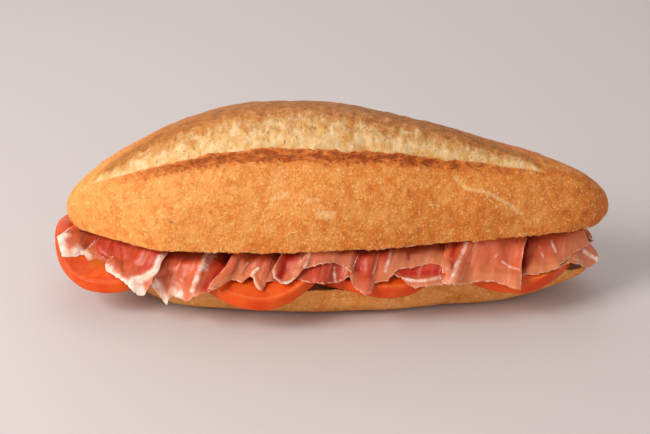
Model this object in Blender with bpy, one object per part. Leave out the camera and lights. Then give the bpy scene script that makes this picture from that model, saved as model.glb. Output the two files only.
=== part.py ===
"""Ham baguette sandwich: a scored loaf cut in two, with tomato slices and draped cured ham inside.

The loaf is one closed body of rings along X, cut by planes as a knife cuts it. The filling is laid
piece by piece on a height map of what is already there, so each slice rests on the ones below it and
none of them overlap. Sizes are millimetres, and MM turns them into metres. The front faces -Y.
"""

import math

import bmesh
import bpy
import numpy as np
from mathutils import Vector, noise

MM = 0.001
SHARP_ANGLE = math.radians(40)

# The loaf, before it is cut. Heights are above the table and widths from its middle line.
HALF_LENGTH = 110.0
HALF_WIDTH = 36.5
EQUATOR = 20.5  # height of the widest line
CROWN = 40.8  # top of the loaf above its widest line
BASE_DEPTH = 21.0  # bottom of the loaf below its widest line, just under the table so it is cut flat
SIDE_SQUARENESS = 0.92  # exponent of the upper section, 1 is an ellipse
BASE_SQUARENESS = 0.4  # exponent of the lower section, which has a flat base and upright sides
# Past its shoulder each end narrows along a slope, and a power rounds off its tip: (slope, shoulder, power).
WIDTH_ENDS = {"left": (2.0, 0.53, 5.0), "right": (0.72, -0.1, 12.0)}
CROWN_ENDS = {"left": (0.8, 0.25, 4.3), "right": (0.75, -0.1, 11.5)}
BASE_ENDS = {"left": (0.7, 0.5, 5.0), "right": (1.25, 0.5, 5.0)}
SHOULDER_BLEND = 0.2  # share of the half length over which the slope sets in
LUMP_SIZE = 24.0
LUMP_HEIGHT = 0.9
LUMP_FADE = 0.25  # the lumps die away over this share of the half length at the tips

# The score along the top. Its angles are degrees round the section, from the front edge over the crown.
LIP_ANGLE = 47.5
LIP_RISE = 10.0  # how far the lip climbs from the middle to the right tip
SCORE_WIDTH = 27.0
SCORE_MIDDLE = -0.06  # as a share of the half length
SCORE_REACH = 0.82
SCORE_DEPTH = 2.6  # drop from the crust to the pale crumb just behind the lip
HOLLOW_REACH = 0.5  # share of the score's width over which the drop levels out
LEAST_OPENING = 0.15  # keeps the rows of points apart past the score's ends
WALL_WIDTH = 1.5
EAR_HEIGHT, EAR_PLACE = 1.6, -1.5  # the torn edge of the crust stands proud
GROOVE_DEPTH, GROOVE_PLACE = 0.7, -5.5  # and is pinched below
EDGE_REACH = 2.5
CREST_HEIGHT, CREST_START, CREST_SPAN = 1.8, 30.0, 120.0  # the whole burst crown swells

# The knife's cut through the loaf, and where the lid then lies.
CUT_HEIGHT = 14.6
CUT_SLOPE = 1.5 / 76
LID_PLACE = (-4.2, -0.3, 27.4)
LID_PITCH, LID_ROLL = -6.5, -1.2  # degrees
CRUMB_DENT = 2.5  # how far the filling presses into the crumb of both cut faces
DENT_SHARE = 0.8  # size of the dented area, as a share of the cut face

# Rings of the loaf
STATIONS = 58
LIP_POINTS = (-8.5, GROOVE_PLACE, EAR_PLACE, WALL_WIDTH)  # degrees past the lip
FRONT_POINTS, BURST_POINTS, BACK_POINTS, BASE_POINTS = 7, 8, 11, 16

# The filling
GRID_STEP = 1.0
GRID_X, GRID_Y = 132, 72
LAY_GAP = 0.35
NOWHERE = -200.0  # height of the grid where nothing lies
MOST_TIMES_OUT = 2.0  # a point nearer the middle than half way out isn't told apart from one half way out
HALVINGS = 12
FACE_MARGIN = 1.03  # the grid takes the cut face to be a little larger than it is
TOMATO_THICKNESS = 4.5
TOMATO_RISE = 0.17  # steepest slope along X
TOMATO_LEAN = 0.35  # slope along Y of a slice that is held up
HAM_ROOM = 4.2  # kept between a held-up slice and the lid
TOMATO_RINGS = (0.45, 0.72, 0.9, 1.0)  # rings of points, as shares of the radius
TOMATO_POINTS = 32
LOBES = ((3, 0.015), (5, 0.012))  # a slice isn't quite round: (waves round it, share of the radius)
SKIN_BULGE = 1.02
SKIN_MARGIN = 1.06
TOMATO_SMOOTHING = 3  # grid steps
SETTLE_ROUNDS = 12
CELL_MARGIN = 0.3  # a triangle also rests on the cells this share of its height outside it
HAM_THICKNESS = 0.9
HAM_RISE = 1.3  # steepest slope along X
HAM_DROOP = 2.2  # steepest slope along Y
HAM_SMOOTHING = 1  # grid steps
LAYER_DEPTH = 2.1  # room under the lid for each slice that lies over another
HAM_ACROSS = 12  # points across a slice
# Rows of points, as shares of the way from the front edge to the back edge
HAM_ROWS = (0, 0.035, 0.07, 0.11, 0.16, 0.26, 0.5, 0.74, 0.84, 0.89, 0.93, 0.965, 1.0)
LID_EDGE = 0.97  # ham leaves the lid a little inside its edge
BACK_REACH = 4.5  # how far the ham hangs out past the back of the lid, on average
BACK_WAVE, BACK_WAVE_LENGTH = 2.0, 4.5
BACK_FADE = 6  # power by which the reach dies away at the tips
BACK_SHARE = 0.88  # width of a slice behind, as a share of its width in front
BACK_LIMIT = 106.0  # no slice ends nearer the tips than this
DROP_REACH = 7.0  # width over which a slice's sides drop
CREASE_REACH = 4.0
LOOSE = 1.6  # how much deeper the folds are at the front edge
LOOSE_FADE = 6  # power by which that dies away towards the back

# (name, middle x, middle y, radius, steepest slope along Y, height that its middle is held up to),
# laid in this order, so each rides on the one before. The first from the left leans up against the lid.
TOMATOES = (
    ("tomato_4", 62.0, -1.0, 31.0, 0.6, 0.0),
    ("tomato_3", 14.0, -9.0, 31.0, 0.6, 0.0),
    ("tomato_2", -31.5, -15.0, 31.5, 0.6, 0.0),
    ("tomato_1", -88.5, -6.0, 29.5, 1.4, 16.5),
)

# (name, how many slices cross over it, front edge from left to right, how far the left and right sides drop,
# creases as (share of the width, depth)), laid in this order.
HAMS = (
    ("ham_1", 1, ((-116, -6), (-114, -16.5), (-110, -19.5), (-106, -18), (-102, -22), (-98, -18), (-94, -20)),
     (0.0, 1.0), ((0.5, 1.0),)),
    ("ham_3", 2, ((-75, -36), (-71, -38), (-68, -39), (-65, -38), (-59.5, -38.5), (-52, -41), (-45, -38.5)),
     (0.5, 1.5), ((0.4, 1.0),)),
    ("ham_4", 1, ((-51, -41), (-46, -41), (-41, -39.5), (-38, -40), (-32.5, -42.5), (-30, -39.5), (-25, -38)),
     (0.0, 1.5), ((0.55, 1.2),)),
    ("ham_6", 1, ((2, -37.5), (5.5, -40), (8.5, -40.5), (12.5, -38.5), (19.5, -37.5), (35.5, -34), (42, -31.5)),
     (1.0, 2.0), ((0.3, 1.0), (0.6, 1.4))),
    ("ham_8", 1, ((70, -27), (76, -26.5), (83, -24), (89, -22), (97.5, -15), (101, -11), (102, -7)),
     (2.5, 0.5), ((0.4, 0.8),)),
    ("ham_2", 0, ((-94.5, -24), (-90, -34), (-84, -38), (-80, -40), (-78, -41), (-76, -38), (-71, -32)),
     (0.8, 0.8), ((0.45, 1.0),)),
    ("ham_5", 0, ((-29, -37.5), (-25, -39.5), (-21.5, -40.5), (-16.5, -39.5), (-3, -39.5), (4, -37.5)),
     (0.8, 0.8), ((0.3, 1.6), (0.85, 1.0))),
    ("ham_7", 0, ((39, -32.5), (45, -32), (52.5, -31.5), (60.5, -32), (64.5, -33), (69, -33.5), (71.5, -26)),
     (0.8, 0.6), ((0.75, 0.8),)),
)

CRUST = {"base_color": (0.72, 0.34, 0.1), "roughness": 0.55}
FLESH = {"base_color": (0.8, 0.16, 0.04), "roughness": 0.25}
MEAT = {"base_color": (0.62, 0.16, 0.11), "roughness": 0.35}


def narrowed(u, ends):
    """Share of the full size left at u, from -1 at the left tip to 1 at the right one."""
    taper = 1.0
    for side, (slope, shoulder, _) in zip((-1, 1), ends.values()):
        past_shoulder = max(0.0, side * u - shoulder)
        taper -= slope * (math.hypot(past_shoulder, SHOULDER_BLEND) - SHOULDER_BLEND)
    power = ends["left" if u < 0 else "right"][2]
    return taper * math.sqrt(max(0.0, 1 - abs(u) ** power))


def signed_power(value, power):
    return math.copysign(abs(value) ** power, value)


def score_opening(u):
    """1 where the score is fully open, 0 past its ends."""
    along = (u - SCORE_MIDDLE) / SCORE_REACH
    return math.sqrt(max(0.0, 1 - along * along))


def lip_angle(u):
    return LIP_ANGLE + LIP_RISE * max(0.0, u)


def score_relief(u, angle):
    """How far the crust stands out at this angle."""
    opening = score_opening(u)
    angle = math.degrees(angle)
    past = angle - lip_angle(u)
    relief = EAR_HEIGHT * math.exp(-((past - EAR_PLACE) / EDGE_REACH) ** 2)
    relief -= GROOVE_DEPTH * math.exp(-((past - GROOVE_PLACE) / EDGE_REACH) ** 2)
    if past > 0:
        across = past / (SCORE_WIDTH * opening + WALL_WIDTH)
        relief -= SCORE_DEPTH * min(1.0, past / WALL_WIDTH) * math.exp(-(across / HOLLOW_REACH) ** 2)
    crest = (angle - CREST_START) / CREST_SPAN
    if 0 < crest < 1:
        relief += CREST_HEIGHT * math.sin(math.pi * crest) ** 2
    return opening * relief


def ring_angles(u):
    """Angles of one ring's points, in radians, with rows along the lip and along the score's far edge."""
    lip = lip_angle(u)
    far = lip + SCORE_WIDTH * max(score_opening(u), LEAST_OPENING) + LIP_POINTS[-1]
    front = np.linspace(0, lip + LIP_POINTS[0], FRONT_POINTS, endpoint=False)
    edge = [lip + past for past in LIP_POINTS]
    burst = np.linspace(edge[-1], far, BURST_POINTS)[1:]
    back = np.linspace(far, 180, BACK_POINTS)[1:]
    base = np.linspace(180, 360, BASE_POINTS + 2)[1:-1]
    return [math.radians(angle) for angle in (*front, *edge, *burst, *back, *base)]


def loaf_point(u, angle):
    """A point of the whole loaf's crust, in millimetres."""
    half_width = HALF_WIDTH * narrowed(u, WIDTH_ENDS)
    if angle <= math.pi:
        y = -half_width * signed_power(math.cos(angle), SIDE_SQUARENESS)
        rise = CROWN * narrowed(u, CROWN_ENDS) * math.sin(angle) ** SIDE_SQUARENESS
    else:
        y = -half_width * signed_power(math.cos(angle), BASE_SQUARENESS)
        rise = -BASE_DEPTH * narrowed(u, BASE_ENDS) * abs(math.sin(angle)) ** BASE_SQUARENESS
    point = Vector((HALF_LENGTH * u, y, EQUATOR + rise))
    outward = Vector((0, y, rise)).normalized()
    relief = score_relief(u, angle) if angle <= math.pi else 0.0
    lump = LUMP_HEIGHT * noise.noise(point / LUMP_SIZE) * min(1.0, (1 - abs(u)) / LUMP_FADE)
    return point + outward * (relief + lump)


def loaf_mesh():
    """The whole loaf as a bmesh: rings from tip to tip, with a fan at each tip."""
    bm = bmesh.new()
    phases = np.linspace(-math.pi / 2, math.pi / 2, STATIONS)
    stations = [math.sin(p) for p in phases][1:-1]
    rings = [[bm.verts.new(loaf_point(u, a)) for a in ring_angles(u)] for u in stations]
    for ring, following in zip(rings, rings[1:]):
        for i in range(len(ring)):
            j = (i + 1) % len(ring)
            bm.faces.new((ring[i], ring[j], following[j], following[i]))
    for ring, side in ((rings[0], -1), (rings[-1], 1)):
        tip = bm.verts.new((HALF_LENGTH * side, 0, EQUATOR))
        for i in range(len(ring)):
            bm.faces.new((ring[i], ring[(i + 1) % len(ring)], tip))
    bmesh.ops.recalc_face_normals(bm, faces=bm.faces)
    return bm


def cut(bm, height, slope, keep_above):
    """Cuts the bmesh with a plane that rises by slope along Y, and closes the cut with one flat face."""
    normal = Vector((0, -slope, 1))
    if keep_above:
        normal.negate()
    everything = [*bm.verts, *bm.edges, *bm.faces]
    bmesh.ops.bisect_plane(bm, geom=everything, plane_co=(0, 0, height), plane_no=normal, clear_outer=True)
    rim = [e for e in bm.edges if e.is_boundary]
    return bmesh.ops.edgeloop_fill(bm, edges=rim)["faces"][0]


def dent(bm, face, depth):
    """Presses the middle of a flat cut face in by depth, which is negative to press it upwards."""
    middle = bmesh.ops.extrude_discrete_faces(bm, faces=[face])["faces"][0]
    bmesh.ops.scale(bm, vec=(DENT_SHARE, DENT_SHARE, 1), verts=middle.verts)
    bmesh.ops.translate(bm, vec=(0, 0, -depth), verts=middle.verts)


def material(name, base_color, roughness, metallic=0.0):
    made = bpy.data.materials.new(name)
    made.use_nodes = True
    shader = made.node_tree.nodes["Principled BSDF"]
    shader.inputs["Base Color"].default_value = (*base_color, 1)
    shader.inputs["Roughness"].default_value = roughness
    shader.inputs["Metallic"].default_value = metallic
    return made


def add_object(name, bm, finish, table):
    """Makes an object of a bmesh in millimetres, and parents it to the sandwich's own empty."""
    bmesh.ops.scale(bm, vec=(MM, MM, MM), verts=bm.verts)
    mesh = bpy.data.meshes.new(name)
    bm.to_mesh(mesh)
    bm.free()
    mesh.materials.append(finish)
    mesh.shade_smooth()
    mesh.set_sharp_from_angle(angle=SHARP_ANGLE)
    made = bpy.data.objects.new(name, mesh)
    bpy.context.scene.collection.objects.link(made)
    made.parent = table
    return made


class Stack:
    """Height map of the filling so far, on a grid of GRID_STEP."""

    def __init__(self):
        self.x = np.arange(-GRID_X, GRID_X + GRID_STEP, GRID_STEP)
        self.y = np.arange(-GRID_Y, GRID_Y + GRID_STEP, GRID_STEP)
        self.top = np.full((len(self.x), len(self.y)), NOWHERE)
        for i, x in enumerate(self.x):
            for j, y in enumerate(self.y):
                share = face_share(x, y)
                if share < FACE_MARGIN:
                    sink = CRUMB_DENT * min(1.0, max(0.0, 1 - share) / (1 - DENT_SHARE))
                    self.top[i, j] = CUT_HEIGHT + CUT_SLOPE * y - sink

    def cells(self, xy, triangles):
        """The grid cells that a sheet covers."""
        covered = np.zeros_like(self.top, bool)
        for triangle in triangles:
            i, j, _ = self.under(xy, triangle)
            covered[i, j] = True
        return covered

    def bed(self, covered, slope_x, slope_y):
        """The height at which a limp sheet over these cells lies, no steeper than the slopes."""
        height = np.where(covered, self.top, NOWHERE)
        for axis, slope in ((0, slope_x), (1, slope_y)):
            height = eased(height, axis, slope * GRID_STEP)
        return height

    def at(self, heights, xy):
        """Heights at any points, interpolated from the grid."""
        i = (xy[:, 0] + GRID_X) / GRID_STEP
        j = (xy[:, 1] + GRID_Y) / GRID_STEP
        i0, j0 = i.astype(int), j.astype(int)
        a, b = i - i0, j - j0
        near = (1 - a) * heights[i0, j0] + a * heights[i0 + 1, j0]
        far = (1 - a) * heights[i0, j0 + 1] + a * heights[i0 + 1, j0 + 1]
        return (1 - b) * near + b * far

    def under(self, xy, triangle):
        """Grid cells inside a triangle, with their weights on its three corners."""
        a, b, c = xy[triangle]
        low = np.floor((np.minimum(np.minimum(a, b), c) + (GRID_X, GRID_Y)) / GRID_STEP).astype(int)
        high = np.ceil((np.maximum(np.maximum(a, b), c) + (GRID_X, GRID_Y)) / GRID_STEP).astype(int) + 1
        i, j = np.meshgrid(np.arange(low[0], high[0]), np.arange(low[1], high[1]), indexing="ij")
        x, y = self.x[i], self.y[j]
        area = (b[0] - a[0]) * (c[1] - a[1]) - (b[1] - a[1]) * (c[0] - a[0])
        weight_b = ((x - a[0]) * (c[1] - a[1]) - (y - a[1]) * (c[0] - a[0])) / area
        weight_c = ((b[0] - a[0]) * (y - a[1]) - (b[1] - a[1]) * (x - a[0])) / area
        weights = np.stack((1 - weight_b - weight_c, weight_b, weight_c), axis=-1)
        inside = (weights > -CELL_MARGIN).all(axis=-1)
        return i[inside], j[inside], weights[inside]

    def settle(self, xy, heights, triangles):
        """Raises a sheet's points until no triangle of it cuts what lies below, then adds the gap."""
        heights = heights.copy()
        patches = [(t, self.under(xy, t)) for t in triangles]
        for _ in range(SETTLE_ROUNDS):
            lift = np.zeros(len(heights))
            for triangle, (i, j, weights) in patches:
                short = self.top[i, j] - weights @ heights[triangle]
                if short.max(initial=0.0) > 0:
                    pull = np.maximum(weights[short.argmax()], 0)
                    lift[triangle] = np.maximum(lift[triangle], short.max() * pull / (pull @ pull))
            heights += lift
        return heights

    def cover(self, xy, tops, triangles):
        """Raises the height map to a sheet's upper face."""
        for triangle in triangles:
            i, j, weights = self.under(xy, triangle)
            self.top[i, j] = np.maximum(self.top[i, j], weights @ tops[triangle])


def eased(height, axis, drop):
    """Raises each cell until it lies at most drop below its neighbours along the axis."""
    height = np.moveaxis(height.copy(), axis, 0)
    for i in range(1, len(height)):
        height[i] = np.maximum(height[i], height[i - 1] - drop)
    for i in range(len(height) - 2, -1, -1):
        height[i] = np.maximum(height[i], height[i + 1] - drop)
    return np.moveaxis(height, 0, axis)


def rounded(height, steps, axes):
    """The mean over a window of the largest height within that window, which never goes below the height."""
    for combine in (np.maximum.reduce, lambda shifts: np.mean(shifts, axis=0)):
        for axis in axes:
            height = combine([np.roll(height, k, axis) for k in range(-steps, steps + 1)])
    return height


def cut_half_width(u):
    """Half the width of the lower half's cut face at u."""
    if abs(u) >= 1:
        return 0.0
    depth = BASE_DEPTH * narrowed(u, BASE_ENDS)
    share = (EQUATOR - CUT_HEIGHT) / depth if depth > 0 else 1.0
    if share >= 1:
        return 0.0
    sine = share ** (1 / BASE_SQUARENESS)
    return HALF_WIDTH * narrowed(u, WIDTH_ENDS) * (1 - sine * sine) ** (BASE_SQUARENESS / 2)


def face_share(x, y):
    """Size that a cut face, shrunk about its middle, has when its edge passes through this point."""
    low, high = 0.0, MOST_TIMES_OUT  # the edge lies between these multiples of the point
    for _ in range(HALVINGS):
        middle = (low + high) / 2
        if abs(y) * middle < cut_half_width(x * middle / HALF_LENGTH):
            low = middle
        else:
            high = middle
    return 1 / high


def rounds(centre, radius, shares, count, phase):
    """Points of a slice seen from above: its middle, and rings that are a little uneven."""
    turns = np.linspace(0, 2 * math.pi, count, endpoint=False)
    uneven = radius * (1 + sum(amount * np.cos(waves * turns + phase) for waves, amount in LOBES))
    circle = np.column_stack((uneven * np.cos(turns), uneven * np.sin(turns)))
    return np.vstack([[centre], *(centre + share * circle for share in shares)])


def round_triangles(rings, count):
    """Triangles between the rings of a slice, as indices of its points."""
    triangles = [(0, 1 + i, 1 + (i + 1) % count) for i in range(count)]
    for ring in range(rings - 1):
        start = 1 + ring * count
        for i in range(count):
            j = (i + 1) % count
            triangles.append((start + i, start + count + i, start + count + j))
            triangles.append((start + i, start + count + j, start + j))
    return np.array(triangles)


def shell(lower, upper, triangles, rim, bulge):
    """A closed solid between two alike faces, with a rounded edge where there is a bulge row."""
    bm = bmesh.new()
    below = [bm.verts.new(p) for p in lower]
    above = [bm.verts.new(p) for p in upper]
    for a, b, c in triangles:
        bm.faces.new((above[a], above[b], above[c]))
        bm.faces.new((below[c], below[b], below[a]))
    edges = [[below[k] for k in rim], [above[k] for k in rim]]
    if bulge is not None:
        edges.insert(1, [bm.verts.new(p) for p in bulge])
    for lower_row, upper_row in zip(edges, edges[1:]):
        for k in range(len(rim)):
            following = (k + 1) % len(rim)
            bm.faces.new((lower_row[k], lower_row[following], upper_row[following], upper_row[k]))
    return bm


def steepness(heights):
    """How much longer than level the grid's surface is at each cell."""
    along_x, along_y = np.gradient(heights, GRID_STEP)
    return np.sqrt(1 + np.minimum(along_x ** 2 + along_y ** 2, HAM_DROOP ** 2))


def lay_tomato(stack, finish, table, name, middle_x, middle_y, radius, droop, held_at):
    """A round slice with a rounded skin edge, laid on the stack."""
    centre = np.array((middle_x, middle_y))
    xy = rounds(centre, radius, TOMATO_RINGS, TOMATO_POINTS, middle_x)
    triangles = round_triangles(len(TOMATO_RINGS), TOMATO_POINTS)
    covered = stack.cells(xy, triangles)
    x, y = np.meshgrid(stack.x, stack.y, indexing="ij")
    leaning = held_at + TOMATO_LEAN * (y - middle_y)
    leaning = np.minimum(leaning, ceiling(x, y) - TOMATO_THICKNESS - HAM_ROOM)
    bed = np.maximum(stack.bed(covered, TOMATO_RISE, droop), leaning)
    bed = rounded(bed, TOMATO_SMOOTHING, (0, 1))
    lower = stack.settle(xy, stack.at(bed, xy), triangles) + LAY_GAP
    upper = lower + TOMATO_THICKNESS
    rim = list(range(len(xy) - TOMATO_POINTS, len(xy)))
    edge_xy = centre + SKIN_BULGE * (xy[rim] - centre)
    edge = np.column_stack((edge_xy, (lower[rim] + upper[rim]) / 2))
    stack.cover(centre + SKIN_MARGIN * (xy - centre), upper, triangles)
    bm = shell(np.column_stack((xy, lower)), np.column_stack((xy, upper)), triangles, rim, edge)
    return add_object(name, bm, finish, table)


def ceiling(x, y):
    """Height of the lid's cut face, less the gap."""
    along_y = math.tan(math.radians(LID_PITCH)) + CUT_SLOPE
    along_x = -math.tan(math.radians(LID_ROLL))
    return LID_PLACE[2] + along_x * (x - LID_PLACE[0]) + along_y * (y - LID_PLACE[1]) - LAY_GAP


def drape(stack):
    """Heights of a limp sheet that touches the lid all over and hangs from its edge."""
    under_lid = np.full_like(stack.top, NOWHERE)
    for i, x in enumerate(stack.x):
        for j, y in enumerate(stack.y):
            if face_share(x - LID_PLACE[0], y - LID_PLACE[1]) < LID_EDGE:
                under_lid[i, j] = ceiling(x, y)
    for axis, slope in ((0, HAM_RISE), (1, HAM_DROOP)):
        under_lid = eased(under_lid, axis, slope * GRID_STEP)
    return under_lid


def evenly(outline, count):
    """Points spaced evenly along an outline."""
    outline = np.array(outline)
    lengths = np.hypot(*np.diff(outline, axis=0).T)
    along = np.concatenate(([0], np.cumsum(lengths)))
    stops = np.linspace(0, along[-1], count)
    return np.column_stack([np.interp(stops, along, outline[:, k]) for k in (0, 1)])


def grid_triangles(across, along):
    triangles = []
    for i in range(across - 1):
        for j in range(along - 1):
            corner = i * along + j
            beside = corner + along
            triangles.append((corner, beside, beside + 1))
            triangles.append((corner, beside + 1, corner + 1))
    return np.array(triangles)


def grid_rim(across, along):
    """Indices of a grid's points round its edge, in order."""
    last = (across - 1) * along
    front = [i * along for i in range(across)]
    right = [last + j for j in range(1, along)]
    back = [i * along + along - 1 for i in range(across - 2, -1, -1)]
    left = list(range(along - 2, 0, -1))
    return front + right + back + left


def back_edge(x, phase):
    """Where a slice of ham ends behind the lid."""
    u = (x - LID_PLACE[0]) / HALF_LENGTH
    lid_edge = LID_PLACE[1] + cut_half_width(u)
    wave = BACK_WAVE * math.sin(x / BACK_WAVE_LENGTH + phase)
    return lid_edge + (BACK_REACH + wave) * max(0.0, 1 - u ** BACK_FADE)


def lay_ham(stack, hung, finish, table, name, slices_over, front, drops, creases):
    """A thin slice that runs through the sandwich, hanging out in front and behind."""
    front_edge = evenly(front, HAM_ACROSS)
    first, last = front_edge[0][0], front_edge[-1][0]
    middle, reach = (first + last) / 2, BACK_SHARE * (last - first) / 2
    back_x = np.linspace(max(middle - reach, -BACK_LIMIT), min(middle + reach, BACK_LIMIT), HAM_ACROSS)
    back = np.array([(x, back_edge(x, first)) for x in back_x])
    rows = np.array(HAM_ROWS)
    xy = np.concatenate([start + np.outer(rows, end - start) for start, end in zip(front_edge, back)])
    share = np.repeat(np.linspace(0, 1, HAM_ACROSS), len(rows))
    width = last - first
    folds = [(0, drops[0], DROP_REACH), (1, drops[1], DROP_REACH)]
    folds += [(at, depth, CREASE_REACH) for at, depth in creases]
    sag = sum(depth * np.exp(-((share - at) * width / reach) ** 2) for at, depth, reach in folds)
    sag = slices_over * LAYER_DEPTH + sag * np.tile(1 + (LOOSE - 1) * (1 - rows) ** LOOSE_FADE, HAM_ACROSS)
    triangles = grid_triangles(HAM_ACROSS, len(rows))
    bed = rounded(stack.bed(stack.cells(xy, triangles), HAM_RISE, HAM_DROOP), HAM_SMOOTHING, (0, 1))
    slant = stack.at(steepness(np.maximum(bed, hung - (slices_over * LAYER_DEPTH))), xy)
    thick = HAM_THICKNESS * slant
    lower = np.maximum(stack.at(bed, xy), stack.at(hung, xy) - thick - (sag + LAY_GAP) * slant)
    lower = stack.settle(xy, lower, triangles) + LAY_GAP
    upper = lower + thick
    stack.cover(xy, upper, triangles)
    rim = grid_rim(HAM_ACROSS, len(rows))
    bm = shell(np.column_stack((xy, lower)), np.column_stack((xy, upper)), triangles, rim, None)
    return add_object(name, bm, finish, table)


def clear_scene():
    for obj in list(bpy.data.objects):
        bpy.data.objects.remove(obj)


def centre(table):
    """Moves the sandwich so that the middle of the box round it, at table height, is the origin."""
    bpy.context.view_layer.update()
    points = [piece.matrix_world @ v.co for piece in table.children for v in piece.data.vertices]
    for axis in (0, 1):
        places = [p[axis] for p in points]
        table.location[axis] = -(min(places) + max(places)) / 2


def main():
    clear_scene()
    table = bpy.data.objects.new("sandwich", None)
    bpy.context.scene.collection.objects.link(table)
    crust = material("crust", **CRUST)
    flesh = material("tomato", **FLESH)
    meat = material("ham", **MEAT)

    lower = loaf_mesh()
    crumb = cut(lower, CUT_HEIGHT, CUT_SLOPE, keep_above=False)
    dent(lower, crumb, CRUMB_DENT)
    cut(lower, 0.0, 0.0, keep_above=True)
    bmesh.ops.recalc_face_normals(lower, faces=lower.faces)
    add_object("bread_bottom", lower, crust, table)

    upper = loaf_mesh()
    crumb = cut(upper, CUT_HEIGHT, CUT_SLOPE, keep_above=True)
    dent(upper, crumb, -CRUMB_DENT)
    bmesh.ops.recalc_face_normals(upper, faces=upper.faces)
    bmesh.ops.translate(upper, vec=(0, 0, -CUT_HEIGHT), verts=upper.verts)
    lid = add_object("bread_top", upper, crust, table)
    lid.location = Vector(LID_PLACE) * MM
    lid.rotation_euler = (math.radians(LID_PITCH), math.radians(LID_ROLL), 0)

    stack = Stack()
    for tomato in TOMATOES:
        lay_tomato(stack, flesh, table, *tomato)
    hung = drape(stack)
    for ham in HAMS:
        lay_ham(stack, hung, meat, table, *ham)
    centre(table)


main()
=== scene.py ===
"""Ham baguette sandwich: the finished surfaces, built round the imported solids.

Every piece is made from the same named sizes as its solid, with many more points, and takes its heights
from that solid. Sizes are millimetres in the loaf's own frame, and placed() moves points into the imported
frame, in metres. The front faces -Y.
"""

import math
from dataclasses import dataclass

import bmesh
import bpy
import numpy as np
from mathutils import Euler, Matrix, Vector, noise
from mathutils.bvhtree import BVHTree


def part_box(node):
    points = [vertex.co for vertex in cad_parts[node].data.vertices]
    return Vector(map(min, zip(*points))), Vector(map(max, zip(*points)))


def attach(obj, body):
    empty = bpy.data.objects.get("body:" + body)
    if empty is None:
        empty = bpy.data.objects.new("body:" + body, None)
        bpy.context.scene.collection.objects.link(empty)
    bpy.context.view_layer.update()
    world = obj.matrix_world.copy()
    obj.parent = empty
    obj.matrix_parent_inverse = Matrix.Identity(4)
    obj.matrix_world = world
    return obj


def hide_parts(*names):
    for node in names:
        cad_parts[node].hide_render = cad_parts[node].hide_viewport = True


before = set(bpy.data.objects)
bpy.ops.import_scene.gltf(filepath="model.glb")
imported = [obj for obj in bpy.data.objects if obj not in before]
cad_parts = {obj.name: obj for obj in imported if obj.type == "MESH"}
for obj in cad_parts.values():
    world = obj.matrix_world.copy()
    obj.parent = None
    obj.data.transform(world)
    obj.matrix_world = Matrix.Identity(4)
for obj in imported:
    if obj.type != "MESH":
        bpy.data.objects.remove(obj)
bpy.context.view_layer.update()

MM = 0.001
CENTRING = np.array((6.119, 2.32, 0.0))  # from the loaf's own frame to the middle of the sandwich's box

# The loaf, as in its solids
HALF_LENGTH = 110.0
HALF_WIDTH = 36.5
EQUATOR = 20.5
CROWN = 40.8
BASE_DEPTH = 21.0
SIDE_SQUARENESS = 0.92
BASE_SQUARENESS = 0.4
WIDTH_ENDS = {"left": (2.0, 0.53, 5.0), "right": (0.72, -0.1, 12.0)}
CROWN_ENDS = {"left": (0.8, 0.25, 4.3), "right": (0.75, -0.1, 11.5)}
BASE_ENDS = {"left": (0.7, 0.5, 5.0), "right": (1.25, 0.5, 5.0)}
SHOULDER_BLEND = 0.2
LUMP_SIZE = 24.0
LUMP_HEIGHT = 0.9
LUMP_FADE = 0.25
LIP_ANGLE = 47.5
LIP_RISE = 10.0
SCORE_WIDTH = 27.0
SCORE_MIDDLE = -0.06
SCORE_REACH = 0.82
SCORE_DEPTH = 2.6
HOLLOW_REACH = 0.5
WALL_WIDTH = 1.5
EAR_HEIGHT, EAR_PLACE = 1.6, -1.5
GROOVE_DEPTH, GROOVE_PLACE = 0.7, -5.5
EDGE_REACH = 2.5
CREST_HEIGHT, CREST_START, CREST_SPAN = 1.8, 30.0, 120.0
CUT_HEIGHT = 14.6
CUT_SLOPE = 1.5 / 76
LID_PLACE = (-4.2, -0.3, 27.4)
LID_PITCH, LID_ROLL = -6.5, -1.2
CRUMB_DENT = 2.5

# The filling, as in its solids
TOMATOES = {  # middle x, middle y, radius
    "tomato_1": (-88.5, -6.0, 29.5),
    "tomato_2": (-31.5, -15.0, 31.5),
    "tomato_3": (14.0, -9.0, 31.0),
    "tomato_4": (62.0, -1.0, 31.0),
}
LOBES = ((3, 0.015), (5, 0.012))
BACK_REACH = 4.5
BACK_WAVE, BACK_WAVE_LENGTH = 2.0, 4.5
BACK_FADE = 6
BACK_SHARE = 0.88
BACK_LIMIT = 106.0

# The camera, before the view is turned about the loaf's own upright axis
CAMERA_PLACE = Vector((-8.5, -468.85, 247.17))
ELEVATION = math.radians(25.0)
CAMERA_TURN = 1.95
CAMERA_LENS = 70.3


# ---- numbers

def cloud(points, size, seed=0.0, stretch=(1, 1, 1)):
    """Smooth noise from about -1 to 1, with lumps about size across, longer along a stretched axis."""
    places = points / (size * np.array(stretch, float)) + seed
    values = [noise.noise(place) for place in places.reshape(-1, 3).tolist()]
    return np.array(values).reshape(places.shape[:-1])


def bump(value, middle, reach):
    """1 at the middle, falling smoothly to 0 past the reach."""
    return np.exp(-((value - middle) / reach) ** 2)


def step(value, low, high):
    """0 below low, 1 above high, smooth between."""
    share = np.clip((value - low) / (high - low), 0, 1)
    return share * share * (3 - 2 * share)


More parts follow.
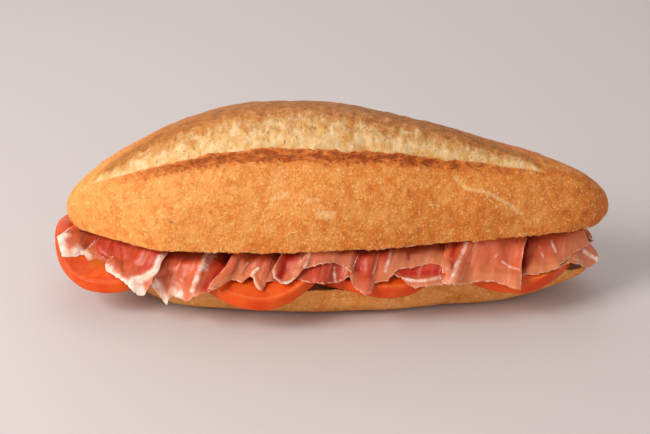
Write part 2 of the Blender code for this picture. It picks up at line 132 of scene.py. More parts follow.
def curved(knots, values, stops):
    """Values on a smooth curve through the knots. The values' first axis runs along the knots."""
    knots, values, stops = (np.asarray(a, float) for a in (knots, values, stops))
    slopes = np.gradient(values, knots, axis=0)
    place = np.clip(np.searchsorted(knots, stops) - 1, 0, len(knots) - 2)
    gap = knots[place + 1] - knots[place]
    t = ((stops - knots[place]) / gap).reshape(-1, *[1] * (values.ndim - 1))
    gap = gap.reshape(t.shape)
    a, b = values[place], values[place + 1]
    rise_a, rise_b = slopes[place] * gap, slopes[place + 1] * gap
    return (2 * t ** 3 - 3 * t ** 2 + 1) * a + (t ** 3 - 2 * t ** 2 + t) * rise_a \
        + (3 * t ** 2 - 2 * t ** 3) * b + (t ** 3 - t ** 2) * rise_b


def distance(points, axis=0):
    """How far each point lies from the first one, measured along its row or column of points."""
    steps = np.diff(points, axis=axis, prepend=points.take([0], axis))
    return np.linalg.norm(steps, axis=-1).cumsum(axis=axis)


def along_outline(outline, count):
    """Points spaced evenly along a smooth curve through an outline's points."""
    outline = np.array(outline, float)
    along = distance(outline)
    return curved(along, outline, np.linspace(0, along[-1], count))


def from_line(x, y, line):
    """Distance of each place from a line of points."""
    nearest = np.full(np.shape(x), np.inf)
    for (x0, y0), (x1, y1) in zip(line, line[1:]):
        length = max((x1 - x0) ** 2 + (y1 - y0) ** 2, 1e-9)
        share = np.clip(((x - x0) * (x1 - x0) + (y - y0) * (y1 - y0)) / length, 0, 1)
        nearest = np.minimum(nearest, np.hypot(x - x0 - share * (x1 - x0), y - y0 - share * (y1 - y0)))
    return nearest


def placed(points):
    """Moves points from the loaf's frame, in millimetres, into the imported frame, in metres."""
    return (points + CENTRING) * MM


# ---- meshes

def grid(rows, columns, closed=False):
    """Indices of a grid's points, row by row. A closed grid has its first column again at the end."""
    index = np.arange(rows * columns).reshape(rows, columns)
    return np.column_stack((index, index[:, 0])) if closed else index


def quads(index):
    """Faces between a grid's points."""
    corners = (index[:-1, :-1], index[:-1, 1:], index[1:, 1:], index[1:, :-1])
    return np.stack(corners, axis=-1).reshape(-1, 4)


def add_object(name, data):
    made = bpy.data.objects.new(name, data)
    bpy.context.scene.collection.objects.link(made)
    return made


def add_piece(name, points, faces, finish, masks, merge=None):
    """Makes a piece of points in the loaf's frame, which stands for the solid of the same name."""
    mesh = bpy.data.meshes.new(name + "_finished")
    mesh.from_pydata(placed(points).tolist(), [], faces)
    for label, values in masks.items():
        layer = mesh.attributes.new(label, "FLOAT", "POINT")
        layer.data.foreach_set("value", np.asarray(values, np.float32))
    mesh.materials.append(finish)
    made = add_object(name + "_finished", mesh)
    bm = bmesh.new()
    bm.from_mesh(mesh)
    if merge:
        bmesh.ops.remove_doubles(bm, verts=bm.verts, dist=merge * MM)
    bmesh.ops.recalc_face_normals(bm, faces=bm.faces)
    bm.to_mesh(mesh)
    bm.free()
    mesh.shade_smooth()
    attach(made, "root")
    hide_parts(name)


# ---- materials

def srgb(red, green, blue):
    """A colour as a screen shows it, from 0 to 255, turned into the shader's linear values."""
    shares = np.array((red, green, blue)) / 255
    linear = np.where(shares > 0.04045, ((shares + 0.055) / 1.055) ** 2.4, shares / 12.92)
    return (*linear.tolist(), 1.0)


class Finish:
    """A node material being made. Each method adds nodes and returns their output socket."""

    def __init__(self, name):
        self.material = bpy.data.materials.new(name)
        self.material.use_nodes = True
        self.tree = self.material.node_tree
        self.space = self.node("TexCoord").outputs["Object"]

    def plug(self, socket, value):
        if isinstance(value, bpy.types.NodeSocket):
            self.tree.links.new(value, socket)
        else:
            socket.default_value = value

    def fill(self, node, **inputs):
        """Sets a node's inputs to numbers or to other nodes' outputs."""
        for name, value in inputs.items():
            self.plug(node.inputs[name.replace("_", " ")], value)
        return node

    def node(self, kind, **inputs):
        return self.fill(self.tree.nodes.new("ShaderNode" + kind), **inputs)

    def set(self, **inputs):
        self.fill(self.tree.nodes["Principled BSDF"], **inputs)

    def attribute(self, name):
        made = self.node("Attribute")
        made.attribute_name = name
        return made.outputs["Fac"]

    def mapped(self, size, stretch=(1, 1, 1), turn=0.0):
        made = self.node("Mapping", Vector=self.space, Rotation=(0, math.radians(turn), 0),
                         Scale=[size * MM * s for s in stretch])
        made.vector_type = "TEXTURE"
        return made.outputs["Vector"]

    def cloud(self, size, detail=2.0, stretch=(1, 1, 1), turn=0.0, roughness=0.5):
        """Noise from 0 to 1 with lumps about size millimetres across, stretched, and turned about Y."""
        made = self.node("TexNoise", Vector=self.mapped(size, stretch, turn), Scale=1.0, Detail=detail,
                         Roughness=roughness)
        return made.outputs["Fac"]

    def cells(self, size):
        """Distance from the middle of the nearest cell, 0 to about 1, with cells about size across."""
        return self.node("TexVoronoi", Vector=self.mapped(size), Scale=1.0).outputs["Distance"]

    def spread(self, value, low, high, to_low=0.0, to_high=1.0):
        """The value's range from low to high, spread smoothly over a new range. Low may be above high."""
        made = self.node("MapRange", Value=value, From_Min=low, From_Max=high, To_Min=to_low, To_Max=to_high)
        made.interpolation_type = "SMOOTHSTEP"
        return made.outputs["Result"]

    def math(self, operation, first, second):
        made = self.node("Math")
        made.operation = operation
        self.plug(made.inputs[0], first)
        self.plug(made.inputs[1], second)
        return made.outputs["Value"]

    def times(self, product, *factors):
        for factor in factors:
            product = self.math("MULTIPLY", product, factor)
        return product

    def shaken(self, value, noise, amount):
        """The value, moved up or down by noise that goes from 0 to 1."""
        return self.math("ADD", value, self.times(self.math("ADD", noise, -0.5), amount))

    def mix(self, share, first, second):
        """A colour between two others."""
        made = self.node("Mix", Factor=share)
        made.data_type = "RGBA"
        self.plug(made.inputs[6], first)
        self.plug(made.inputs[7], second)
        return made.outputs[2]

    def relief(self, height, depth, onto=None):
        """Bumps up to depth millimetres deep, on top of other relief."""
        made = self.node("Bump", Height=height, Distance=depth * MM)
        if onto is not None:
            self.plug(made.inputs["Normal"], onto)
        return made.outputs["Normal"]


PALE_GOLD, GOLDEN, BAKED = srgb(226, 152, 76), srgb(210, 117, 40), srgb(168, 77, 18)
DARK_CRUST, SPECK = srgb(116, 52, 14), srgb(248, 196, 120)
LIP_CRUST, CREASE_SHADE = srgb(204, 106, 40), srgb(140, 50, 14)
PALE_RIDGE, DARK_RIDGE = srgb(180, 112, 44), srgb(128, 72, 22)
PALE_SCORE, DEEP_SCORE, CRACK_SHADE = srgb(230, 196, 146), srgb(214, 162, 92), srgb(160, 106, 50)
CRUMB, FLOUR = srgb(232, 204, 156), srgb(238, 192, 132)
FLESH, PALE_FLESH, VEIN, GEL = srgb(206, 62, 10), srgb(218, 86, 22), srgb(232, 130, 64), srgb(190, 96, 14)
SKIN, PALE_SKIN, SKIN_EDGE_HIGHLIGHT = srgb(208, 62, 8), srgb(222, 84, 16), srgb(240, 150, 84)
MEAT, PALE_MEAT, LIT_THIN_MEAT = srgb(178, 48, 22), srgb(208, 98, 58), srgb(212, 136, 92)
FOLD_SHADE_MEAT, STREAK, HAM_EDGE_HIGHLIGHT = srgb(178, 36, 20), srgb(236, 176, 144), srgb(236, 192, 162)
PINK_FAT, WHITE_FAT = srgb(232, 182, 156), srgb(242, 216, 200)


def baked(f, browning):
    """Crust from pale gold to dark brown, with small pale specks."""
    colour = f.mix(f.spread(browning, -0.6, 0.4), PALE_GOLD, GOLDEN)
    colour = f.mix(f.spread(browning, 0.2, 1.3), colour, BAKED)
    colour = f.mix(f.spread(browning, 1.3, 2.3), colour, DARK_CRUST)
    specks = f.math("MAXIMUM", f.spread(f.cells(1.6), 0.3, 0.14), f.spread(f.cloud(1.3, 3.0), 0.55, 0.66))
    return f.mix(f.times(specks, f.spread(f.cloud(3.0), 0.34, 0.6), 0.65), colour, SPECK)


def burst(f, reach, flakes, breaks):
    """Pale flaky crumb in the score, with painted shade in its cracks and pores, browner towards the ridge
    behind it.
    """
    cream = f.mix(f.spread(f.cloud(3.5, 4.0), 0.35, 0.68), PALE_SCORE, DEEP_SCORE)
    cream = f.mix(f.times(f.spread(flakes, 0.45, 0.62), 0.35), cream, DEEP_SCORE)
    # Painted shade in the cracks and pores, which also sink as relief.
    cream = f.mix(f.times(breaks, 0.6), cream, CRACK_SHADE)
    return f.mix(f.times(f.spread(reach, 0.35, 1.0), 0.8), cream, PALE_RIDGE)


def crust_finish():
    """Baked crust: sandy gold, browner where bake_and_shade is high (browning, and painted shade to the
    right), cream in the score.
    """
    f = Finish("crust")
    past, across, opening, bake_and_shade = map(f.attribute, ("past", "across", "opening", "bake_and_shade"))
    sand, patches, wobble = f.cloud(1.3, 4.0, roughness=0.7), f.cloud(4.5, 3.0), f.cloud(1.7, 3.0)
    colour = baked(f, f.shaken(f.shaken(bake_and_shade, sand, 3.5), patches, 2.1))

    reach = f.shaken(across, f.cloud(3.2, 5.0, (1, 1.5, 1.5), roughness=0.7), 2.4)
    ridge = f.times(f.spread(reach, 0.75, 1.25), f.spread(opening, 0.05, 0.5), f.spread(across, 2.6, 1.5))
    mottles = f.spread(f.cloud(2.6, 5.0, (1.5, 1, 1), roughness=0.75), 0.34, 0.7)
    colour = f.mix(f.times(ridge, 0.85), colour, f.mix(mottles, PALE_RIDGE, DARK_RIDGE))

    lip = f.times(f.spread(f.shaken(past, wobble, 10.0), -13.0, -5.0), f.spread(past, 1.2, 0.2),
                  f.spread(opening, 0.35, 0.9))
    colour = f.mix(f.times(lip, 0.8), colour, LIP_CRUST)
    # Painted shade in the creases under the torn lip, which also sink as relief below.
    creases = f.times(f.spread(f.cloud(2.3, 4.0, (2.4, 1, 1), roughness=0.6), 0.44, 0.6),
                      f.spread(f.shaken(past, wobble, 8.0), -10.0, -6.5), f.spread(past, -0.2, -3.0), lip)
    colour = f.mix(f.times(creases, f.spread(bake_and_shade, -0.5, 0.3, 0.3, 0.8)), colour, CREASE_SHADE)

    flakes = f.cloud(0.8, 3.0, (1, 4, 4))
    breaks = f.math("MAXIMUM", f.spread(flakes, 0.66, 0.72), f.spread(f.cells(2.6), 0.13, 0.07))
    zone = f.times(f.spread(f.shaken(past, wobble, 6.0), -0.2, 0.7), f.spread(reach, 1.2, 0.75),
                   f.spread(opening, 0.02, 0.3))
    colour = f.mix(zone, colour, burst(f, reach, flakes, breaks))

    dusted = f.spread(f.shaken(f.attribute("flour"), f.cloud(1.4, 4.0, roughness=0.7), 1.1), 0.2, 0.9)
    colour = f.mix(f.times(dusted, 0.65), colour, FLOUR)
    crumbly = f.spread(f.shaken(f.attribute("crumb"), f.cloud(1.2), 1.6), 0.45, 0.7)
    colour = f.mix(crumbly, colour, f.mix(f.spread(f.cloud(1.8, 3.0), 0.4, 0.6), DEEP_SCORE, CRUMB))
    # Painted shade in the small pits.
    colour = f.mix(f.attribute("pit_shade"), colour, DARK_CRUST)

    bumps = None
    for height, depth in ((sand, 0.28), (breaks, -0.25), (creases, -0.5), (f.cloud(2.6, 3.0), 0.3)):
        bumps = f.relief(height, depth, bumps)
    f.set(Base_Color=colour, Roughness=f.spread(patches, 0.3, 0.7, 0.5, 0.65), Normal=bumps)
    f.set(Specular_IOR_Level=0.25, Subsurface_Weight=0.05, Subsurface_Scale=0.002)
    return f.material


def tomato_finish():
    """Wet cut tomato: orange red, with a painted highlight along the skin's cut edge and yellow gel."""
    f = Finish("tomato")
    colour = f.mix(f.spread(f.cloud(5.0, 3.0), 0.35, 0.65), FLESH, PALE_FLESH)
    veins = f.spread(f.cloud(2.2, 3.0, (1, 1, 3)), 0.58, 0.7)
    colour = f.mix(f.times(veins, 0.2), colour, VEIN)
    colour = f.mix(f.times(f.attribute("gel"), 0.9), colour, GEL)
    colour = f.mix(f.attribute("skin"), colour, f.mix(f.spread(f.cloud(9.0), 0.3, 0.7), SKIN, PALE_SKIN))
    # A painted highlight along the skin's cut edge.
    colour = f.mix(f.times(f.attribute("line"), 0.3), colour, SKIN_EDGE_HIGHLIGHT)
    wet = f.relief(f.cloud(1.6, 3.0), 0.12)
    f.set(Base_Color=colour, Roughness=0.32, Normal=wet, Specular_IOR_Level=0.25)
    f.set(Subsurface_Weight=0.15, Subsurface_Scale=0.003, Subsurface_Radius=(1.0, 0.3, 0.1))
    return f.material


def ham_finish():
    """Cured ham: translucent pink meat with fine pale streaks and white fat, painted shade in its folds,
    painted light towards its free edge and a painted highlight along its edges.
    """
    f = Finish("ham")
    shade = f.shaken(f.times(f.attribute("tone"), -0.6), f.cloud(8.0), 1.2)
    shade = f.shaken(shade, f.cloud(1.5, 3.0, (1, 4, 4), 20.0), 0.35)
    colour = f.mix(f.spread(shade, -0.45, 0.45), MEAT, PALE_MEAT)
    # Painted light: paler towards the free edge, as if lit through the thin meat, which leaves painted shade
    # under the lid.
    colour = f.mix(f.times(f.attribute("thin"), 0.6), colour, LIT_THIN_MEAT)
    # Painted shade in the fold valleys.
    colour = f.mix(f.attribute("deep"), colour, FOLD_SHADE_MEAT)
    streaks = f.spread(f.cloud(1.6, 3.0, (0.8, 12, 12), 22.0), 0.54, 0.76)
    colour = f.mix(f.times(streaks, 0.22), colour, STREAK)
    # A painted highlight along the torn edges.
    edge_highlight = f.spread(f.shaken(f.attribute("rim"), f.cloud(1.0, 3.0), 1.6), 0.5, 1.0)
    colour = f.mix(f.times(edge_highlight, f.spread(f.cloud(4.0), 0.42, 0.6, 0.1, 0.75)), colour, HAM_EDGE_HIGHLIGHT)
    white = f.spread(f.shaken(f.attribute("fat"), f.cloud(3.0, 3.0, roughness=0.55), 0.8), 0.2, 0.9)
    colour = f.mix(white, colour, f.mix(f.spread(f.cloud(3.0), 0.35, 0.65), PINK_FAT, WHITE_FAT))
    grain = f.relief(f.cloud(0.8, 3.0, (1, 1, 3), 20.0), 0.1)
    f.set(Base_Color=colour, Roughness=0.4, Normal=grain, Specular_IOR_Level=0.35)
    f.set(Subsurface_Weight=0.25, Subsurface_Scale=0.0025, Subsurface_Radius=(1.0, 0.45, 0.35))
    return f.material


# ---- bread

END_DENSITY = 0.75  # how far the stations crowd towards the tips
DENT_FADE = 0.2  # share of a cut face, from its sides and its tips, over which its dent deepens
EDGE_BAND = 0.9  # how near its edge a cut is torn
MERGE_GAP = 0.01  # points nearer than this at the tips become one


def narrowed(u, ends):
    """Share of the full size left at u, from -1 at the left tip to 1 at the right one."""
    taper = np.ones_like(u)
    for side, (slope, shoulder, _) in zip((-1, 1), ends.values()):
        past_shoulder = np.maximum(0.0, side * u - shoulder)
        taper = taper - slope * (np.hypot(past_shoulder, SHOULDER_BLEND) - SHOULDER_BLEND)
    power = np.where(u < 0, ends["left"][2], ends["right"][2])
    return taper * np.sqrt(np.maximum(0.0, 1 - np.abs(u) ** power))


def score_opening(u):
    return np.sqrt(np.maximum(0.0, 1 - ((u - SCORE_MIDDLE) / SCORE_REACH) ** 2))


def lip_angle(u):
    return LIP_ANGLE + LIP_RISE * np.maximum(0.0, u)


def half_width(u):
    return HALF_WIDTH * narrowed(u, WIDTH_ENDS)


def lower_half_width(u, height):
    """Half the width of the lower section at a height."""
    depth = BASE_DEPTH * narrowed(u, BASE_ENDS)
    sine = np.minimum(1, (EQUATOR - height) / np.maximum(depth, 1e-6)) ** (1 / BASE_SQUARENESS)
    return half_width(u) * (1 - sine * sine) ** (BASE_SQUARENESS / 2)


def cut_height(y):
    """Height of the cut through the loaf, which rises towards the back."""
    return CUT_HEIGHT + CUT_SLOPE * y


def stations(count):
    """Places along the loaf, from tip to tip, closer at the tips."""
    phases = np.linspace(-math.pi / 2, math.pi / 2, count)[1:-1]
    return END_DENSITY * np.sin(phases) + (1 - END_DENSITY) * phases * 2 / math.pi


def section_side(u, top_height, low_height, count):
    """Half widths and heights down the lower section, from one height to another or to its bottom."""
    depth = BASE_DEPTH * narrowed(u, BASE_ENDS)
    drops = np.linspace(EQUATOR - top_height, EQUATOR - low_height, count)
    heights = EQUATOR - np.minimum(drops, depth)
    return lower_half_width(u, heights), heights


def whole_ring(u, y, z, count):
    """One ring of points and their u: a half's outline, and count points back across its crumb."""
    across = np.linspace(0, 1, count + 2)[1:-1]
    y, z = (np.hstack((side, side[-1] + across * (side[0] - side[-1]))) for side in (y, z))
    return np.column_stack((np.full(len(y), HALF_LENGTH * u), y, z, np.full(len(y), u)))


def outward(points):
    """Unit vectors across the loaf's long axis, away from it."""
    away = points * (0, 1, 1) - (0, 0, EQUATOR)
    return away / np.maximum(np.linalg.norm(away, axis=1, keepdims=True), 1e-9)


def lumps(points, u):
    return LUMP_HEIGHT * cloud(points, LUMP_SIZE) * np.minimum(1.0, (1 - np.abs(u)) / LUMP_FADE)


def dented(u, y):
    """How far the filling presses into a cut face at this place."""
    from_side = 1 - np.abs(y) / np.maximum(half_width(u), 1e-6)
    return CRUMB_DENT * np.clip(from_side / DENT_FADE, 0, 1) * np.clip((1 - np.abs(u)) / DENT_FADE, 0, 1)


def from_cut_edge(points, u, crust, side):
    """How far each place of a half, above the cut or below it, lies from the edge of its cut face."""
    on_crust = side * (points[:, 2] - cut_height(points[:, 1]))
    return np.where(crust, on_crust, lower_half_width(u, CUT_HEIGHT) - np.abs(points[:, 1]))


def add_half(name, points, count, crust, finish, masks):
    """Makes half a loaf of rings of count points, with a fan of triangles over each end ring."""
    total = len(points)
    tips = [points[:count][crust[:count]].mean(0), points[-count:][crust[-count:]].mean(0)]
    masks = {label: np.append(values, (values[0], values[-1])) for label, values in masks.items()}
    faces = quads(grid(total // count, count, closed=True)).tolist()
    ring = np.arange(count)
    for first, tip in ((0, total), (total - count, total + 1)):
        faces += np.column_stack((first + ring, first + np.roll(ring, -1), np.full(count, tip))).tolist()
    add_piece(name, np.vstack((points, tips)), faces, finish, masks, MERGE_GAP)


TOP_STATIONS, TOP_CRUMB = 420, 24
SIDE_POINTS = 14
EDGE_SPAN = (-13.0, 3.0)  # degrees past the lip that the close rows cover
ANGLE_KNOTS = (0, 36, 80, 124, 181)  # points at the front, before the lip, past it, past the burst and behind
BACK_SPAN = (100, 150)  # degrees over which the ridge gives way to the browner back
SETTLE_ROUNDS = 5
SINK_SLOPE = 0.4  # the crumb sinks no steeper than this from the lid's edge, so that the edge hides it
BELOW, BEHIND, ON_CRUMB = -1.0, 181.0, 270.0  # stand for the angle where it isn't over the equator
FAR_PAST, FAR_ACROSS, NOWHERE = 90, 9, -90  # well outside the score, and lower than every mark
# Marks on the lid's front: their reach, their strength and their places as (x, rise)
FLOURY = (
    (2.3, 0.8, (-9.5, 26.9), (-4.9, 26.3)),
    (1.2, 0.7, (-14, 31.7), (-10.3, 32.4)),
    (1.3, 0.7, (-27.4, 32.1), (-21.5, 34.2)),
    (4.0, 0.4, (-25.4, 44.1), (-27.4, 30.7)),
    (1.1, 0.75, (42.1, 41.7), (45.5, 38.1), (54, 36.1), (59.7, 33.6), (65.1, 30.3), (68.1, 28.1)),
    (2.5, 0.35, (-74.7, 21.5), (-58.8, 31.4)),
)
# Small pits on the lid's front, darkened as painted shade.
PIT_SHADES = ((0.6, 0.7, (-65.8, 23), (-65.6, 23)), (0.5, 0.7, (-88.2, 14.5), (-87.6, 15.3)))


def upper_angles(u):
    """Degrees of one ring's points over the equator, from front to back, close together at the lip."""
    low, high = (lip_angle(u) + end for end in EDGE_SPAN)
    degrees = (0, low, high, high + 1.1 * SCORE_WIDTH, 180)
    return np.interp(np.arange(ANGLE_KNOTS[-1] + 1), ANGLE_KNOTS, degrees)


def top_ring(u):
    """One ring of the upper half: front cut edge, over the crown, back cut edge, back across the crumb."""
    degrees = upper_angles(u)
    turn = np.radians(degrees)
    width, crown = half_width(u), CROWN * narrowed(u, CROWN_ENDS)
    over_y = -width * np.copysign(np.abs(np.cos(turn)) ** SIDE_SQUARENESS, np.cos(turn))
    over_z = EQUATOR + crown * np.abs(np.sin(turn)) ** SIDE_SQUARENESS
    front_y, front_z = section_side(u, EQUATOR, cut_height(-width), SIDE_POINTS + 1)
    back_y, back_z = section_side(u, EQUATOR, cut_height(width), SIDE_POINTS + 1)
    y = np.hstack((-front_y[:0:-1], over_y, back_y[1:]))
    z = np.hstack((front_z[:0:-1], over_z, back_z[1:]))
    angle = np.hstack(([BELOW] * SIDE_POINTS, degrees, [BEHIND] * SIDE_POINTS, [ON_CRUMB] * TOP_CRUMB))
    return np.column_stack((whole_ring(u, y, z, TOP_CRUMB), angle))


def score_relief(points, angle, past, across):
    """Height of the score's forms: a torn lip, the hollow burst behind it and a crest over both."""
    ear = EAR_HEIGHT * np.where(past < EAR_PLACE, bump(past, EAR_PLACE, 1.2 * EDGE_REACH), 1.0)
    ear = ear * (1 - step(past, EAR_PLACE + 0.8, WALL_WIDTH))
    hollow = SCORE_DEPTH * step(past, EAR_PLACE, WALL_WIDTH) * bump(np.maximum(0, across), 0, HOLLOW_REACH)
    crest = CREST_HEIGHT * np.sin(math.pi * np.clip((angle - CREST_START) / CREST_SPAN, 0, 1)) ** 2
    relief = ear - GROOVE_DEPTH * bump(past, GROOVE_PLACE, EDGE_REACH) - hollow + crest
    creases = 0.9 * np.abs(cloud(points, 2.6, 11.0, (1.5, 1, 1))) + 0.4 * cloud(points, 1.3, 12.0)
    relief -= creases * step(past, -10, -7) * step(past, 1.0, -1.0)
    flakes = 0.35 * cloud(points, 1.6, 13.0, (1, 4, 4)) + 0.4 * cloud(points, 5.0, 17.0)
    return relief + flakes * step(past, 0.3, 1.6) * (1 - step(across, 0.8, 1.2))


def above_filling(points):
    """How far each place of the lid's crumb lies over the filling, evened out along the loaf."""
    slices = [Solid(node) for node in (*TOMATOES, *HAMS)]
    tops = np.array([[piece.height(x, y, 1) for piece in slices] for x, y in points[:, :2]])
    drop = np.maximum(points[:, 2] - np.fmax.reduce(tops, axis=1), 0.0)
    drop = np.nan_to_num(drop).reshape(-1, TOP_CRUMB)
    for mingled in (np.max,) * SETTLE_ROUNDS + (np.mean,) * 2 * SETTLE_ROUNDS:
        padded = np.pad(drop, ((1, 1), (0, 0)), mode="edge")
        drop = mingled((padded[:-2], padded[1:-1], padded[2:]), axis=0)
    return drop.ravel()


def bread_top(finish):
    """The scored upper half, whose crumb sinks onto the filling."""
    rings = [top_ring(u) for u in stations(TOP_STATIONS)]
    table = np.vstack(rings)
    points, u, angle = table[:, :3].copy(), table[:, 3], table[:, 4]
    crust, upper = angle != ON_CRUMB, (angle >= 0) & (angle <= 180)
    opening = score_opening(u)
    wander = 1.8 * cloud(points, 10.0, 3.0) + 1.7 * cloud(points, 3.8, 5.0) + 0.9 * cloud(points, 1.5, 7.0)
    past = angle - lip_angle(u) + wander * opening
    across = past / (SCORE_WIDTH * opening + WALL_WIDTH)
    relief = score_relief(points, angle, past, across) * opening * upper
    crown_height = np.maximum(0, points[:, 2] - EQUATOR) / CROWN
    wrinkles = 0.2 * cloud(points, 3.4, 19.0) + 0.12 * cloud(points, 1.5, 23.0)
    wrinkles += 0.35 * crown_height ** 2 * cloud(points, 5.0, 27.0)
    points += outward(points) * (crust * (relief + lumps(points, u) + wrinkles))[:, None]

    from_edge = from_cut_edge(points, u, crust, 1)
    torn = 1.3 * np.maximum(0, cloud(points, 1.4, 31.0, (1, 30, 30)))
    torn = torn * step(cloud(points, 12.0, 35.0), -0.3, 0.3) + 0.5 * cloud(points, 5.0, 33.0)
    points[:, 2] -= torn * bump(from_edge, 0, EDGE_BAND)
    points[:, 2] += ~crust * (dented(u, points[:, 1]) + 0.5 * cloud(points, 2.2, 37.0))

    back = step(angle, *BACK_SPAN)
    ridge = opening * step(across, 0.6, 1.3) * (1 - back) * upper
    # 0.35 * u darkens the lid towards the right: partly real browning, partly painted shade away from the key
    # lamp on the left.
    bake_and_shade = 0.35 * u + 0.4 * ridge + 0.3 * step(u, 0.75, 1.0) + 0.3 * cloud(points, 15.0, 29.0)
    bake_and_shade += 0.25 * np.where(upper, back, angle == BEHIND) + 0.2 * step(from_edge, 5, 0) * crust

    pressed = dented(u, points[:, 1])[~crust] / CRUMB_DENT
    lid_turn = Euler((math.radians(LID_PITCH), math.radians(LID_ROLL), 0)).to_matrix()
    points = (points - (0, 0, CUT_HEIGHT)) @ np.array(lid_turn).T + LID_PLACE
    points[~crust, 2] -= np.minimum(pressed * above_filling(points[~crust]), SINK_SLOPE * from_edge[~crust])

    heights = np.where(crust & (points[:, 1] < 0), rise(points[:, 1], points[:, 2]), NOWHERE)
    outside = np.where(angle == BEHIND, 1.0, -1.0)
    add_half("bread_top", points, len(rings[0]), crust, finish, {
        "past": np.where(upper, past, FAR_PAST * outside),
        "across": np.where(upper, across, FAR_ACROSS * outside),
        "opening": opening,
        "bake_and_shade": bake_and_shade,
        "crumb": np.where(crust, 0.62 * step(from_edge, EDGE_BAND, 0.0), 1.0),
        "flour": strokes(points[:, 0], heights, FLOURY),
        "pit_shade": strokes(points[:, 0], heights, PIT_SHADES)})


BOTTOM_STATIONS, BOTTOM_CRUMB = 330, 40
SIDE_ROWS, FLOOR_ROWS = 34, 50
CORNER_SHARE = 0.87  # where the side of the lower section turns into its base
LEAST_SIDE = 0.4
TIP_CUT = 3.0  # how far the right tip is drawn in, so that it shows no wide flat end


def bottom_ring(u):
    """One ring of the lower half: down the front, under the base, up the back, and back across the crumb."""
    depth, width = BASE_DEPTH * narrowed(u, BASE_ENDS), half_width(u)
    corner = min(EQUATOR - depth * CORNER_SHARE, cut_height(-width))
    front_y, front_z = section_side(u, cut_height(-width), corner, SIDE_ROWS)
    back_y, back_z = section_side(u, cut_height(width), corner, SIDE_ROWS)
    shares = np.linspace(-front_y[-1], back_y[-1], FLOOR_ROWS + 2)[1:-1] / width
    cosine = np.abs(shares) ** (1 / BASE_SQUARENESS)
    floor_z = EQUATOR - depth * (1 - cosine * cosine) ** (BASE_SQUARENESS / 2)
    y = np.hstack((-front_y, shares * width, back_y[::-1]))
    return whole_ring(u, y, np.hstack((front_z, floor_z, back_z[::-1])), BOTTOM_CRUMB)


def bread_bottom(finish):
    """The lower half, flat underneath."""
    rings = [bottom_ring(u) for u in stations(BOTTOM_STATIONS)
             if BASE_DEPTH * narrowed(u, BASE_ENDS) > EQUATOR - CUT_HEIGHT + LEAST_SIDE]
    count = len(rings[0])
    table = np.vstack(rings)
    points, u = table[:, :3].copy(), table[:, 3]
    crust = np.tile(np.arange(count) < count - BOTTOM_CRUMB, len(rings))
    wrinkles = 0.25 * cloud(points, 3.2, 41.0) + 0.15 * cloud(points, 1.4, 43.0)
    points += outward(points) * (crust * (lumps(points, u) + wrinkles))[:, None]
    points[:, 2] = np.maximum(points[:, 2], 0.0)
    from_edge = from_cut_edge(points, u, crust, -1)
    ragged = 0.5 * cloud(points, 1.5, 45.0, (1, 30, 30)) + 0.5 * cloud(points, 4.0, 46.0)
    points[:, 2] += ragged * bump(from_edge, 0, EDGE_BAND)
    points[:, 2] -= ~crust * (dented(u, points[:, 1]) + 0.5 * np.abs(cloud(points, 2.5, 47.0)))
    tip = step(u, 0.85, 0.94)
    points[:, 0] -= TIP_CUT * tip
    # 0.15 * u darkens the lower half towards the right: partly real browning, partly painted shade away from
    # the key lamp on the left.
    bake_and_shade = 0.15 * u - 0.25 + 0.35 * cloud(points, 12.0, 53.0) + 0.6 * step(points[:, 2], 3.0, 0.0)
    add_half("bread_bottom", points, count, crust, finish, {
        "past": 0 * u - FAR_PAST,
        "across": 0 * u - FAR_ACROSS,
        "opening": 0 * u,
        "bake_and_shade": bake_and_shade + 0.7 * tip,
        "crumb": np.where(crust, 0.5 * step(from_edge, 0.8, 0.0), 1.0) * (1 - 0.8 * tip),
        "flour": 0.45 * step(cloud(points, 6.0, 59.0, (2, 1, 1)), 0.1, 0.5),
        "pit_shade": 0 * u})


# ---- filling

class Solid:
    """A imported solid's upper and lower faces, as heights in the loaf's frame."""

    def __init__(self, node):
        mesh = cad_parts[node].data
        points = [v.co for v in mesh.vertices]
        self.tree = BVHTree.FromPolygons(points, [tuple(p.vertices) for p in mesh.polygons])

    def height(self, x, y, side):
        """Height of the face seen from above, side 1, or from below, side -1."""
        start = Vector(placed((x, y, 0)) + (0, 0, side))
        hit = self.tree.ray_cast(start, Vector((0, 0, -side)))[0]
        return np.nan if hit is None else hit.z / MM

    def middle(self, x, y):
        """Height and half thickness half way between the two faces, or no numbers past its edge."""
        top, bottom = self.height(x, y, 1), self.height(x, y, -1)
        return (top + bottom) / 2, (top - bottom) / 2


LEFT_CURL = 4.5


def curled_up(x):
    """How far the filling rises at the left end, past the lid's tip."""
    return LEFT_CURL * step(x, -100, -116)


TOMATO_ROUND, TOMATO_ACROSS, SKIN_ROWS = 220, 40, 9
TOMATO_KNOTS = (0.0, 0.2, 0.45, 0.72, 0.9, 0.985)
TOMATO_SPOKES = 32
SKIN_BULGE = 0.5
CHAMBERS, CHAMBER_PLACE, CHAMBER_REACH = 6, 0.62, 0.16
RIM = 0.985  # share of the way out at which the skin's cut edge lies


